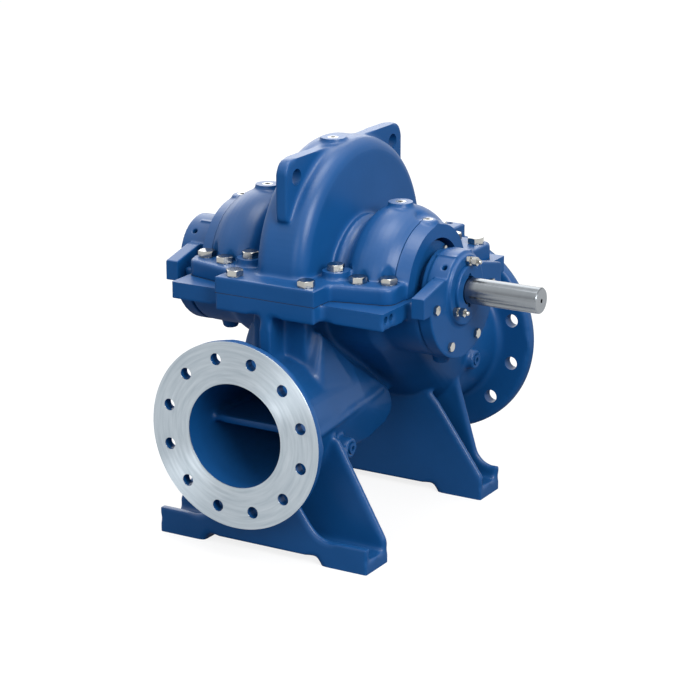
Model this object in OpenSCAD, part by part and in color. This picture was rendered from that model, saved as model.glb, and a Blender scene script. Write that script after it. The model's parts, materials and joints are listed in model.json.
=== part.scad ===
// Horizontal split case pump, double suction, with its bare shaft end.
// X runs along the shaft towards the drive end, -Y is the discharge side,
// +Y is the suction side, and the feet stand on Z = 0.

/* [Nozzles] */
// Height of both nozzle centres above the floor
nozzle_h = 260; // [250:1:275]
// Discharge bore radius
discharge_bore_r = 100; // [90:1:104]
// Discharge flange outer radius
discharge_flange_r = 180; // [176:1:186]
// Discharge bolt circle diameter
discharge_pcd = 295; // [290:1:300]
// Discharge bolt hole radius
discharge_hole_r = 11.5; // [10:0.5:13]
// Discharge flange thickness
discharge_flange_t = 22; // [18:1:28]
// Distance from the shaft to the discharge flange face
discharge_reach = 360; // [350:1:380]
// Outer radius of the discharge neck behind its flange
discharge_neck_r = 121; // [117:1:126]
// Suction bore radius
suction_bore_r = 125; // [115:1:128]
// Suction flange outer radius
suction_flange_r = 212.5; // [208:0.5:220]
// Suction bolt circle diameter
suction_pcd = 355; // [350:1:362]
// Suction bolt hole radius
suction_hole_r = 14; // [12:0.5:15]
// Suction flange thickness
suction_flange_t = 25; // [20:1:32]
// Distance from the shaft to the suction flange face
suction_reach = 460; // [445:1:490]
// Outer radius of the suction neck behind its flange
suction_neck_r = 140; // [138:1:146]
// Length of the round suction neck behind its flange
suction_neck_l = 135; // [120:1:150]
// Bolt holes in each nozzle flange
flange_holes = 12; // [8:4:12]
// Fillet radius between a neck and its flange
neck_fillet_r = 14; // [8:1:16]
// Thickness of the flow splitters in the nozzles
splitter_t = 14; // [10:1:20]
// Depth of the flow splitters behind the flange faces
splitter_depth = 75; // [60:1:90]
// Wall left round the inner ends of the flow passages
passage_wall = 23; // [15:1:30]

/* [Lower casing] */
// Height of the shaft axis above the floor
shaft_h = 494; // [488:1:505]
// Thickness of the lower split flange
lower_flange_t = 33; // [28:1:36]
// Length of the lower split flange from the middle to the drive end
lower_de_l = 238; // [232:1:244]
// Length of the lower split flange from the middle to the other end
lower_nde_l = 222; // [220:1:244]
// Reach of the lower flange ends on the discharge side
lower_end_front = 228; // [224:1:236]
// Reach of the lower flange ends on the suction side
lower_end_back = 262; // [255:1:275]
// Radius of the lower volute
lower_volute_r = 285; // [278:1:290]
// Half width of the diffuser's top behind the discharge neck
throat_half_w = 80; // [72:1:88]
// Half width of the ridge along the diffuser's sides
ridge_half_w = 115; // [110:1:120]
// Length of the diffuser behind the shaft axis
diffuser_tail = 90; // [80:1:100]
// Reach of the volute's wall behind the rib
tongue_reach = 200; // [190:1:210]
// Thickness of the rib over the discharge nozzle
rib_t = 24; // [16:1:30]

/* [Upper casing] */
// Thickness of the gasket in the split
gasket_t = 1; // [0.5:0.5:3]
// Thickness of the upper split flange
upper_flange_t = 31; // [26:1:36]
// Half width of the middle of the split flange
mid_half_w = 108; // [104:1:114]
// Reach of the middle of the split flange on the discharge side
mid_front = 253; // [246:1:260]
// Reach of the middle of the split flange on the suction side
mid_back = 343; // [335:1:355]
// Half length of the upper split flange
upper_half_l = 224; // [218:1:227]
// Reach of the upper flange beside the middle on the discharge side
shoulder_front = 198; // [190:1:206]
// Reach of the upper flange ends on the discharge side
end_front = 176; // [170:1:186]
// Reach of the upper flange ends on the suction side
end_back = 244; // [236:1:252]
// Corner radius of the upper flange ends
flange_corner_r = 24; // [12:1:30]
// Radius of the upper volute rim
volute_r = 236; // [228:1:242]
// Half width of the volute at its rim
volute_half_w = 56; // [50:1:62]
// Radius of the volute's rounded rim edge
volute_edge_r = 30; // [18:1:36]
// Draft of the volute's side walls towards the hub
volute_draft = 6; // [1:1:10]
// Largest radius of the suction domes
dome_r = 147; // [142:1:150]
// Distance of a dome's crest from the pump's middle
dome_x = 148; // [144:1:154]
// Radius of a dome's crest curve
dome_crest_r = 75; // [70:1:80]
// Radius of the shoulder between a dome and its neck
dome_shoulder_r = 26; // [20:1:30]
// Radius of the necks between volute and domes
dome_neck_r = 112; // [106:1:114]
// Height of the beads round each neck
bead_h = 8; // [4:1:10]
// Radius of a dome's end face
end_ring_r = 116; // [112:1:120]
// Distance of the upper casing's ends from the pump's middle
upper_end_x = 228; // [224:1:234]
// Radius of the seal chamber's open end
seal_chamber_r = 91; // [84:1:98]
// Distance of the seal chamber's floor from the pump's middle
seal_floor_x = 200; // [192:1:205]
// Reach of the lifting lugs from the volute's centre
lug_reach = 218; // [210:1:226]
// Height of the lifting lugs' top above the shaft axis
lug_top = 250; // [244:1:256]
// Height of the lifting lugs along their outer edge
lug_edge_h = 116; // [100:1:130]
// Thickness of the two lifting lugs
lug_t = 24; // [18:1:32]
// Radius of the lifting holes
lug_hole_r = 16; // [10:1:18]
// Radius of the raised split bolt bosses beside the volute
split_boss_r = 26; // [22:1:28]
// Height of those bosses above the flange
split_boss_h = 15; // [8:1:20]
// Radius of the spot faces cut into the domes for the split bolts
spot_face_r = 21; // [18:1:23]

/* [Feet] */
// Half length of each foot
foot_half_l = 230; // [222:1:240]
// Length of each bearing pad of a foot
pad_l = 100; // [90:1:110]
// Distance from the shaft to a foot's outer face
foot_out = 272; // [268:1:280]
// Distance from the shaft to a foot's inner face
foot_in = 190; // [184:1:196]
// Thickness of a foot's floor
foot_floor_t = 25; // [20:1:30]
// Thickness of a foot's upright webs
web_t = 15; // [12:1:20]
// Height of the webs at the pad ends
web_end_h = 50; // [42:1:58]
// Height of the relief under the middle of a foot
relief_h = 14; // [8:1:17]
// Radius of the foundation bolt holes
foot_hole_r = 11.5; // [9:0.5:14]
// Distance between foundation bolts along the shaft
foot_pitch_x = 360; // [350:1:370]
// Distance between foundation bolts across the shaft
foot_pitch_y = 462; // [456:1:468]

/* [Shaft and bearings] */
// Radius of the free shaft end
shaft_end_r = 25; // [22:0.5:26.5]
// Distance of the shaft's free end from the pump's middle
shaft_end_x = 446; // [420:1:470]
// Radius of the shaft in the bearings
journal_r = 27.5; // [27:0.25:29]
// Outer radius of the shaft sleeves
sleeve_r = 34; // [32:0.5:36]
// Radial running clearance of the shaft in its bearings
running_gap = 0.05; // [0.02:0.01:0.1]
// Radial clearance of the rotor in covers and casing
rotor_gap = 2; // [1:0.5:3]
// Radius of the bracket's half-round flange
bracket_r = 132; // [128:1:136]
// Distance of the bracket flange's back from the pump's middle
bracket_x = 257; // [254:1:262]
// Thickness of the bracket flange
bracket_t = 27; // [22:1:30]
// Radius of the bearing housings
housing_r = 74; // [70:1:78]
// Length of a housing behind the bracket flange
housing_tail = 14; // [8:1:18]
// Length of the collar on a housing's back that reaches into the seal chamber
collar_l = 12; // [8:1:14]
// Distance of the drive-end housing's outer face from the pump's middle
de_housing_x = 291; // [289:1:296]
// Distance of the other housing's outer face from the pump's middle
nde_housing_x = 306; // [300:1:312]
// Radius of the drive-end housing's raised ring
housing_ring_r = 67; // [65:1:69]
// Radius of the bearing covers
cover_r = 48; // [44:1:50]
// Thickness of the bearing covers
cover_t = 6; // [4:1:10]
// Half width of the flat pad on a housing
pad_half_w = 33; // [26:1:38]
// Height of the flat pad above the shaft axis
pad_top = 70; // [68:1:74]
// Reach of the bracket's wings from the shaft axis
wing_reach = 156; // [146:1:160]
// Depth of the wings below the shaft axis
wing_low = 22; // [18:1:26]
// Height of the wings' ends above the shaft axis
wing_high = 17; // [14:1:22]
// Radius of the seal covers
seal_cover_r = 84; // [76:1:83.9]

/* [Plugs] */
// Radius of the socket plugs
plug_r = 10.5; // [8:0.5:12]
// Length of the socket plugs
plug_l = 14; // [10:1:18]
// Radius of the plug bosses
boss_r = 24; // [18:1:28]
// Height of a plug boss above the casing
boss_h = 6; // [3:1:10]
// Radius of the grease nipples' circle
nipple_circle_r = 57; // [56:0.5:58]
// Width across the flats of the grease nipples
nipple_af = 16; // [12:0.5:17]
// Length of the grease nipples
nipple_l = 30; // [24:1:34]

/* [Hidden] */
$fn = 64;
paint = [0.09, 0.22, 0.48];
bright = [0.80, 0.81, 0.82];
dark = [0.16, 0.16, 0.17];
// Overlap that lets cuts and joined shapes pass through each other
eps = 1;
// A size larger than the whole pump, for cutting planes
far = 2000;
// Clearance of a plug in its hole and of a sleeve on the shaft
slip_gap = 0.1;
// Straight pieces in each arc of an outline
arc_steps = 8;
// Angle between neighbouring flange holes
hole_step = 360 / flange_holes;
// Radius of the rotor's way through casing and covers
passage_r = sleeve_r + rotor_gap;
// Distance of a sleeve's outer end from the housing's back
sleeve_back = 6;
// Halves of the split, one on each side of the gasket
lower_top = shaft_h - gasket_t / 2;
upper_bottom = shaft_h + gasket_t / 2;
upper_flange_top = upper_bottom + upper_flange_t;
lower_flange_bottom = lower_top - lower_flange_t;
// Centre of the upper volute, set off from the shaft as a spiral's is
volute_off_y = 29;
volute_off_z = 22;
// Centre of the lower volute, which grows towards the throat
lower_volute_y = -10;
lower_volute_z = -40;
// Back faces of the nozzle flanges and inner ends of their round necks
discharge_back_y = -discharge_reach + discharge_flange_t;
discharge_neck_y = discharge_back_y + 2 * neck_fillet_r;
suction_back_y = suction_reach - suction_flange_t;
suction_neck_y = suction_back_y - suction_neck_l;
// Split bolts beside the volute stand on bosses, two others in spot faces
split_bosses = [[mid_half_w - 14, -150], [mid_half_w - 14, 190]];
spot_faces = [[dome_x - 2, -dome_r - 11], [dome_x + 52, -dome_r + 9]];
// Places of the plugs over the seal chambers
flush_x = dome_x + 58;
// Tops of the plug bosses on the upper casing
vent_top = shaft_h + volute_off_z + volute_r + boss_h / 2;
suction_plug_top = shaft_h + dome_r + boss_h;
flush_plug_top = shaft_h + end_ring_r + boss_h + 4;
flush_boss_r = boss_r - 3;
// Mouths of the gauge plugs on the drive-end side of the nozzles
gauge_drop = 58;
gauge_y = -165;
discharge_gauge = [ridge_half_w + 25, gauge_y, nozzle_h - gauge_drop];
suction_gauge = [suction_neck_r + 22, suction_neck_y, nozzle_h - 4];
// Angles of the grease nipples round the shaft; the far end's upper one sits on the suction side
top_angle = 90;
far_angle = 30;
side_angle = 212;
// Radius of the diffuser's pipe under its ridges
diffuser_r = ridge_half_w - 8;

// Points of an arc round [x, y], from angle a to angle b
function arc(x, y, r, a, b) =
    [for (i = [0:arc_steps]) let (t = a + (b - a) * i / arc_steps) [x + r * cos(t), y + r * sin(t)]];

// Closes a half outline, given for x > 0, with its mirror image
function both_halves(half) = concat(half, [for (i = [len(half) - 1:-1:0]) [-half[i][0], half[i][1]]]);

// Turns a profile of [radius, x] points round the shaft axis
module turned(profile) {
    translate([0, 0, shaft_h]) rotate([0, 90, 0]) rotate_extrude() polygon(profile);
}

// A round bar along the shaft axis from x0 to x1
module bar(r, x0, x1) {
    translate([x0, 0, shaft_h]) rotate([0, 90, 0]) cylinder(r = r, h = x1 - x0);
}

// A round bar along Y from y0 to y1 at the nozzles' height
module cross_bar(r, y0, y1) {
    translate([0, y1, nozzle_h]) rotate([90, 0, 0]) cylinder(r = r, h = y1 - y0);
}

// A round bar along Y at the nozzles' height whose radius goes from r0 at y to r1 over the length l
module tapered_bar(r0, r1, y, l) {
    translate([0, y, nozzle_h]) rotate([l > 0 ? -90 : 90, 0, 0]) cylinder(r1 = r0, r2 = r1, h = abs(l));
}

// Its children at the drive end, or mirrored at the other end
module at_end(side) {
    mirror([side > 0 ? 0 : 1, 0, 0]) children();
}

// Extrudes a [y, z] outline along X, from x0 to x1
module side_plate(x0, x1) {
    translate([x0, 0, 0]) rotate([90, 0, 90]) linear_extrude(x1 - x0) children();
}

// Extrudes an [x, z] outline along Y, from y0 to y1
module cross_plate(y0, y1) {
    translate([0, y1, 0]) rotate([90, 0, 0]) linear_extrude(y1 - y0) children();
}

// Everything above the split, and everything below it
module above_split() {
    translate([-far / 2, -far / 2, upper_bottom]) cube(far);
}

module below_split() {
    translate([-far / 2, -far / 2, lower_top - far]) cube(far);
}

// Outline of the upper split flange and of the gasket
module upper_outline() {
    r = flange_corner_r;
    half = concat(
        [[mid_half_w, -mid_front], [mid_half_w, -shoulder_front]],
        arc(upper_half_l - r, -end_front + r, r, -90, 0),
        arc(upper_half_l - r, end_back - r, r, 0, 90),
        [[mid_half_w, end_back], [mid_half_w, mid_back]]);
    polygon(both_halves(half));
}

// Outline of the lower split flange, longer at the drive end
module lower_outline() {
    polygon([[mid_half_w, -mid_front], [mid_half_w, -lower_end_front],
        [lower_de_l, -lower_end_front], [lower_de_l, lower_end_back],
        [mid_half_w, lower_end_back], [mid_half_w, mid_back],
        [-mid_half_w, mid_back], [-mid_half_w, lower_end_back],
        [-lower_nde_l, lower_end_back], [-lower_nde_l, -lower_end_front],
        [-mid_half_w, -lower_end_front], [-mid_half_w, -mid_front]]);
}

// Disc of the volute with drafted sides and rounded rim edges
module volute_disc(r, half_w) {
    e = volute_edge_r;
    hub_half_w = half_w + volute_draft;
    hub_r = dome_neck_r - bead_h;
    rotate([0, 90, 0]) rotate_extrude() polygon(concat(
        [[0, -hub_half_w], [hub_r, -hub_half_w]],
        arc(r - e, -half_w + e, e, -90, 0),
        arc(r - e, half_w - e, e, 0, 90),
        [[hub_r, hub_half_w], [0, hub_half_w]]));
}

// Suction dome: two beads on its neck, a shoulder, the crest and the drafted end
module dome() {
    turn = -24;
    crest_end = 46;
    crest_c = dome_r - dome_crest_r;
    shoulder_c = crest_c + (dome_crest_r - dome_shoulder_r) * cos(turn);
    shoulder_x = dome_x + (dome_crest_r - dome_shoulder_r) * sin(turn);
    bead_x = volute_half_w + volute_draft / 2;
    bead_w = 9;
    neck_end_x = shoulder_x - dome_shoulder_r - bead_w / 2;
    turned(concat(
        [[0, 0], [dome_neck_r + 1.5 * bead_h, 0], [dome_neck_r + 1.5 * bead_h, bead_x],
            [dome_neck_r + bead_h / 2, bead_x + bead_w / 2]],
        arc(dome_neck_r, bead_x + 1.5 * bead_w, bead_h, -60, 80),
        [[dome_neck_r, neck_end_x]],
        arc(shoulder_c, shoulder_x, dome_shoulder_r, -90, turn),
        arc(crest_c, dome_x, dome_crest_r, turn + 4, crest_end),
        [[end_ring_r, upper_end_x], [0, upper_end_x]]));
}

// Two lugs that stand out of the volute's rim in its middle plane
module lifting_lugs() {
    high = shaft_h + lug_top;
    low = high - lug_edge_h;
    corner = 26;
    hole_in = 36;
    half = concat([[lug_reach, low]], arc(lug_reach - corner, high - corner, corner, 0, 90));
    side_plate(-lug_t / 2, lug_t / 2) translate([volute_off_y, 0]) difference() {
        polygon(both_halves(half));
        for (s = [1, -1]) translate([s * (lug_reach - hole_in), high - hole_in]) circle(r = lug_hole_r);
    }
}

// Hole for a socket plug, along +Z, with its mouth at the origin
module plug_hole() {
    translate([0, 0, -plug_l]) cylinder(r = plug_r + slip_gap, h = plug_l + eps);
}

// Upright plug boss at x with its top at height z
module top_boss(x, z, r) {
    boss_l = 2 * plug_l + boss_h;
    translate([x, 0, z - boss_l]) cylinder(r = r, h = boss_l);
}

module upper_casing() {
    seat_r = flush_boss_r + 3;
    color(paint) difference() {
        union() {
            translate([0, 0, upper_bottom]) linear_extrude(upper_flange_t) upper_outline();
            intersection() {
                above_split();
                union() {
                    translate([0, volute_off_y, shaft_h + volute_off_z]) volute_disc(volute_r, volute_half_w);
                    for (side = [1, -1]) at_end(side) dome();
                    lifting_lugs();
                }
            }
            for (side = [1, -1], p = split_bosses)
                translate([side * p[0], p[1], upper_bottom])
                    cylinder(r = split_boss_r, h = upper_flange_t + split_boss_h);
            top_boss(0, vent_top, boss_r);
            for (side = [1, -1]) {
                top_boss(side * dome_x, suction_plug_top, boss_r);
                top_boss(side * flush_x, flush_plug_top, flush_boss_r);
            }
        }
        bar(passage_r, -far / 2, far / 2);
        for (side = [1, -1]) at_end(side) bar(seal_chamber_r, seal_floor_x, far / 2);
        for (side = [1, -1], p = spot_faces)
            translate([side * p[0], p[1], upper_flange_top]) cylinder(r = spot_face_r, h = 3 * spot_face_r);
        translate([0, 0, vent_top]) plug_hole();
        for (side = [1, -1]) {
            translate([side * dome_x, 0, suction_plug_top]) plug_hole();
            translate([side * flush_x, 0, flush_plug_top]) plug_hole();
            translate([side * flush_x, 0, flush_plug_top]) cylinder(r = seat_r, h = 2 * seat_r);
        }
    }
}

// Half outline of an upright foot web whose edge sweeps up from the pad
function swept_web(flat_x, sweep_r, sweep_a, top_x, top_z) = concat(
    [[foot_half_l, 0], [foot_half_l, web_end_h]],
    arc(flat_x, web_end_h + sweep_r, sweep_r, -90, -90 - sweep_a),
    [[top_x, top_z], [top_x / 2, nozzle_h]]);

// Half outline of an upright foot web with a straight sloping edge
function sloped_web(top_x, top_z) =
    [[foot_half_l, 0], [foot_half_l, web_end_h], [top_x, top_z], [top_x / 2, nozzle_h]];

// One foot on the +Y side: floor, outer and inner web, relief and bolt holes
module foot(outer, inner) {
    chamfer = 10;
    relief_half_l = foot_half_l - pad_l;
    difference() {
        union() {
            translate([-foot_half_l, foot_in, 0]) cube([2 * foot_half_l, foot_out - foot_in, foot_floor_t]);
            cross_plate(foot_out - web_t, foot_out) polygon(both_halves(outer));
            cross_plate(foot_in, foot_in + web_t) polygon(both_halves(inner));
        }
        cross_plate(foot_in - eps, foot_out + eps)
            polygon(both_halves([[relief_half_l, -eps], [relief_half_l - chamfer, relief_h]]));
        for (s = [1, -1])
            translate([s * foot_pitch_x / 2, foot_pitch_y / 2, -eps])
                cylinder(r = foot_hole_r, h = foot_floor_t + 2 * eps);
    }
}

// Discharge foot, whose outer web sweeps up under the flange
module discharge_foot() {
    flat_l = 74;
    sweep_r = 60;
    sweep_a = 50;
    outer_top_x = 50;
    outer_drop = 105;
    inner_top_x = discharge_neck_r + 8;
    inner_drop = 32;
    mirror([0, 1, 0]) foot(
        swept_web(foot_half_l - flat_l, sweep_r, sweep_a, outer_top_x, nozzle_h - outer_drop),
        sloped_web(inner_top_x, nozzle_h - inner_drop));
}

// Suction foot, whose outer web rises steeply to the neck
module suction_foot() {
    flat_l = 8;
    sweep_r = 42;
    sweep_a = 70;
    outer_top_x = suction_neck_r - 4;
    outer_drop = 28;
    inner_top_x = suction_neck_r - 10;
    inner_drop = 70;
    foot(
        swept_web(foot_half_l - flat_l, sweep_r, sweep_a, outer_top_x, nozzle_h - outer_drop),
        sloped_web(inner_top_x, nozzle_h - inner_drop));
}

// Diffuser behind the discharge neck: a pipe with a ridge along each side and a rounded tail,
// and over it a narrower throat that rises to the volute
module discharge_body() {
    ridge_z = nozzle_h - 6;
    ridge_t = 6;
    ridge_front = -240;
    ridge_back = -70;
    tail_half_w = throat_half_w + 4;
    tail_low = nozzle_h - 92;
    tail = [[-40, nozzle_h + 34], [-16, nozzle_h + 32], [diffuser_tail - 30, nozzle_h - 3],
        [diffuser_tail - 12, nozzle_h - 20], [diffuser_tail, nozzle_h - 46],
        [diffuser_tail - 8, nozzle_h - 68], [diffuser_tail - 32, nozzle_h - 82], [0, tail_low]];
    throat_foot_z = nozzle_h + 30;
    throat_foot_half_w = throat_half_w + 20;
    throat_y = -176;
    throat = [[throat_y - 45, throat_foot_z + 20], [throat_y - 17, throat_foot_z + 52],
        [throat_y - 4, throat_foot_z + 82], [throat_y, shaft_h - 69], [-111, shaft_h - 121],
        [-22, shaft_h - 192], [-16, throat_foot_z]];
    throat_foot = [[throat_y - 30, throat_foot_z - 12], [throat_y - 30, throat_foot_z],
        [-83, throat_foot_z], [-83, throat_foot_z - 12]];
    hull() {
        cross_bar(discharge_neck_r - eps, discharge_neck_y - neck_fillet_r, discharge_neck_y, $fn = 48);
        cross_bar(diffuser_r, ridge_front, ridge_back, $fn = 48);
        translate([-ridge_half_w, ridge_front, ridge_z - ridge_t / 2])
            cube([2 * ridge_half_w, ridge_back - ridge_front, ridge_t]);
        side_plate(-tail_half_w, tail_half_w) polygon(tail);
    }
    hull() {
        side_plate(-throat_half_w, throat_half_w) polygon(throat);
        side_plate(-throat_foot_half_w, throat_foot_half_w) polygon(throat_foot);
    }
}

// Chamber that leads from the suction neck up to both ends of the shaft
module suction_body() {
    hull() {
        cross_bar(suction_neck_r - eps, suction_neck_y, suction_neck_y + neck_fillet_r, $fn = 48);
        bar(dome_r - 2, -dome_x, dome_x, $fn = 48);
        bar(end_ring_r, -seal_floor_x, seal_floor_x, $fn = 48);
    }
}

// Nozzle flange with a filleted neck along +Y, its face at the origin
module nozzle_flange(flange_r, flange_t, pipe_r, pipe_l) {
    f = neck_fillet_r;
    rotate([-90, 0, 0]) rotate_extrude() polygon(concat(
        [[0, 0], [flange_r, 0], [flange_r, flange_t]],
        arc(pipe_r + f, flange_t + f, f, -90, -180),
        [[pipe_r, flange_t + pipe_l], [0, flange_t + pipe_l]]));
}

// The ring of bolt holes through a nozzle flange, astride the centre lines
module flange_drilling(pcd, r, y0, y1) {
    for (i = [0:flange_holes - 1])
        translate([0, 0, nozzle_h])
            rotate([0, (i + 0.5) * hole_step, 0])
                translate([pcd / 2, y1, 0]) rotate([90, 0, 0]) cylinder(r = r, h = y1 - y0);
}

// Round boss for a gauge plug, facing the drive end
module gauge_boss(mouth) {
    boss_l = 60;
    gauge_boss_r = 2 * plug_r;
    translate([mouth[0] - boss_l, mouth[1], mouth[2]]) rotate([0, 90, 0])
        cylinder(r = gauge_boss_r, h = boss_l);
}

// Flow passage of the discharge nozzle, tapered inwards, with its level splitter left standing
module discharge_hollow() {
    taper_l = 200;
    difference() {
        union() {
            cross_bar(discharge_bore_r, -discharge_reach - eps, discharge_neck_y);
            tapered_bar(discharge_bore_r, diffuser_r - passage_wall, discharge_neck_y - eps, taper_l);
        }
        translate([-far / 2, -discharge_reach + splitter_depth, nozzle_h - splitter_t / 2])
            cube([far, far, splitter_t]);
    }
}

// Flow passage of the suction nozzle, tapered inwards, with its upright splitter left standing
module suction_hollow() {
    taper_l = 60;
    difference() {
        union() {
            cross_bar(suction_bore_r, suction_neck_y, suction_reach + eps);
            tapered_bar(suction_bore_r, suction_bore_r - 2 * passage_wall, suction_neck_y + eps, -taper_l);
        }
        translate([-splitter_t / 2, suction_reach - splitter_depth - far, nozzle_h - far / 2])
            cube([splitter_t, far, far]);
    }
}

// Rib from the split flange down to the discharge nozzle, flush with the flange front
module discharge_rib() {
    root_z = nozzle_h + discharge_neck_r - neck_fillet_r;
    rib_back_y = -tongue_reach + neck_fillet_r;
    side_plate(-rib_t / 2, rib_t / 2)
        polygon([[-mid_front, root_z], [rib_back_y, root_z],
            [rib_back_y, lower_flange_bottom + eps], [-mid_front, lower_flange_bottom + eps]]);
}

// Drain boss under the casing end that carries the bearing bracket
module drain_boss() {
    drain_r = 17;
    drain_h = 18;
    translate([bracket_x - drain_r - 2, 0, shaft_h - bracket_r - drain_h])
        cylinder(r = drain_r, h = 2 * drain_h);
}

// Two tapped holes in the drive end of the lower flange
module end_taps() {
    tap_r = 6.5;
    tap_depth = 14;
    tap_z = lower_flange_bottom + 0.6 * lower_flange_t;
    for (y = [-lower_end_front + 16, -lower_end_front + 35])
        translate([lower_de_l - tap_depth, y, tap_z]) rotate([0, 90, 0])
            cylinder(r = tap_r, h = tap_depth + eps);
}

module lower_casing() {
    color(paint) difference() {
        union() {
            translate([0, 0, lower_flange_bottom]) linear_extrude(lower_flange_t) lower_outline();
            intersection() {
                translate([0, lower_volute_y, shaft_h + lower_volute_z])
                    volute_disc(lower_volute_r, volute_half_w);
                translate([-far / 2, -tongue_reach, lower_top - far]) cube(far);
            }
            intersection() {
                below_split();
                union() {
                    suction_body();
                    for (side = [1, -1]) at_end(side) bar(bracket_r, dome_x, bracket_x);
                }
            }
            for (side = [1, -1]) at_end(side) drain_boss();
            discharge_body();
            translate([0, -discharge_reach, nozzle_h])
                nozzle_flange(discharge_flange_r, discharge_flange_t, discharge_neck_r, 2 * neck_fillet_r);
            translate([0, suction_reach, nozzle_h]) rotate([0, 0, 180])
                nozzle_flange(suction_flange_r, suction_flange_t, suction_neck_r, suction_neck_l);
            discharge_foot();
            suction_foot();
            discharge_rib();
            gauge_boss(discharge_gauge);
            gauge_boss(suction_gauge);
        }
        bar(passage_r, -far / 2, far / 2);
        for (side = [1, -1]) at_end(side) bar(seal_chamber_r, seal_floor_x, far / 2);
        flange_drilling(discharge_pcd, discharge_hole_r, -discharge_reach - eps, discharge_back_y + eps);
        flange_drilling(suction_pcd, suction_hole_r, suction_back_y - eps, suction_reach + eps);
        discharge_hollow();
        suction_hollow();
        end_taps();
        translate(discharge_gauge) rotate([0, 90, 0]) plug_hole();
        translate(suction_gauge) rotate([0, 90, 0]) plug_hole();
    }
}

module casing_gasket() {
    color(dark) translate([0, 0, lower_top]) linear_extrude(gasket_t) difference() {
        upper_outline();
        square([far, 2 * passage_r], center = true);
        for (s = [1, -1])
            translate([s * (seal_floor_x + far / 2), 0]) square([far, 2 * seal_chamber_r], center = true);
    }
}

// Shaft with its journals, stepped down to the free end
module shaft() {
    nde_end = -nde_housing_x + 8;
    step_x = de_housing_x - 4;
    chamfer = 2;
    centre_r = 4;
    centre_depth = 8;
    color(bright) difference() {
        turned([[0, nde_end], [journal_r - chamfer, nde_end], [journal_r, nde_end + chamfer],
            [journal_r, step_x], [shaft_end_r, step_x], [shaft_end_r, shaft_end_x - chamfer],
            [shaft_end_r - chamfer, shaft_end_x], [0, shaft_end_x]]);
        bar(centre_r, shaft_end_x - centre_depth, shaft_end_x + eps);
    }
}

// Sleeve that carries the seal, a slip fit on the shaft
module shaft_sleeve() {
    sleeve_in = seal_floor_x - 30;
    sleeve_out = bracket_x - housing_tail - sleeve_back;
    color(bright) difference() {
        bar(sleeve_r, sleeve_in, sleeve_out);
        bar(journal_r + slip_gap, sleeve_in - eps, sleeve_out + eps);
    }
}

// Seal cover with its gland collar, on the floor of the seal chamber
module seal_cover() {
    plate_t = 16;
    gland_r = sleeve_r + 16;
    gland_l = 26;
    color(paint) difference() {
        union() {
            bar(seal_cover_r, seal_floor_x, seal_floor_x + plate_t);
            bar(gland_r, seal_floor_x, seal_floor_x + gland_l);
        }
        bar(passage_r, seal_floor_x - eps, seal_floor_x + gland_l + eps);
    }
}

// Bearing bracket: half-round flange, two wings and the bearing housing
module bearing_bracket(housing_x, ring_r) {
    front_x = bracket_x + bracket_t;
    back_x = bracket_x - housing_tail;
    shoulder_y = housing_r + 10;
    shoulder_high = 34;
    ring_fillet_r = 0.8 * (housing_x - front_x);
    vent_r = 5;
    vent_x = housing_x - 21;
    collar_r = housing_r - 3;
    collar_x = back_x - collar_l;
    wing = [[wing_reach, shaft_h - wing_low], [wing_reach, shaft_h + wing_high],
        [shoulder_y, shaft_h + shoulder_high]];
    ring = ring_r < housing_r
        ? arc(ring_r + ring_fillet_r, front_x + ring_fillet_r, ring_fillet_r, -90, -180) : [];
    color(paint) difference() {
        union() {
            intersection() {
                bar(bracket_r, bracket_x, front_x);
                translate([0, -far / 2, shaft_h - far]) cube(far);
            }
            side_plate(bracket_x, front_x) polygon(both_halves(wing));
            turned(concat([[0, back_x], [housing_r, back_x], [housing_r, front_x]], ring,
                [[ring_r, housing_x], [0, housing_x]]));
            translate([back_x, -pad_half_w, shaft_h]) cube([front_x - back_x, 2 * pad_half_w, pad_top]);
            bar(collar_r, collar_x, back_x + eps);
        }
        bar(journal_r + running_gap, collar_x - eps, housing_x + eps);
        bar(passage_r, collar_x - eps, back_x - sleeve_back / 2);
        translate([vent_x, 0, shaft_h]) rotate([45, 0, 0])
            translate([0, 0, 0.7 * housing_r]) cylinder(r = vent_r, h = housing_r);
    }
}

// Bearing cover with a chamfered rim, open and notched for the shaft, or closed
module bearing_cover(housing_x, open) {
    chamfer = 1.5;
    notch_r = 6;
    notch_depth = 0.7 * cover_t;
    outer_x = housing_x + cover_t;
    shaft_hole_r = shaft_end_r + rotor_gap;
    color(paint) difference() {
        turned([[0, housing_x], [cover_r, housing_x], [cover_r, outer_x - chamfer],
            [cover_r - chamfer, outer_x], [0, outer_x]]);
        if (open) {
            bar(shaft_hole_r, housing_x - eps, outer_x + eps);
            for (s = [1, -1])
                translate([0, 0, s * shaft_hole_r]) bar(notch_r, outer_x - notch_depth, outer_x + eps);
        }
    }
}

// Grease nipple on a housing's end face, at an angle round the shaft: two hexagons and a ball end
module grease_nipple(housing_x, angle) {
    base_l = 0.28 * nipple_l;
    nut_from = 0.38 * nipple_l;
    nut_l = 0.36 * nipple_l;
    hex_r = nipple_af / 2 / cos(30);
    body_r = 0.35 * nipple_af;
    ball_r = 0.28 * nipple_af;
    waist_r = 0.2 * nipple_af;
    color(bright) translate([housing_x, 0, shaft_h]) rotate([angle, 0, 0])
        translate([0, nipple_circle_r, 0]) rotate([0, 90, 0]) {
            cylinder(r = hex_r, h = base_l, $fn = 6);
            translate([0, 0, nut_from]) cylinder(r = hex_r, h = nut_l, $fn = 6);
            rotate_extrude() polygon([[0, 0], [body_r, 0], [body_r, nut_from + nut_l],
                [waist_r, nut_from + 1.1 * nut_l], [ball_r, 0.88 * nipple_l],
                [ball_r, 0.95 * nipple_l], [waist_r, nipple_l], [0, nipple_l]]);
        }
}

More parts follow.
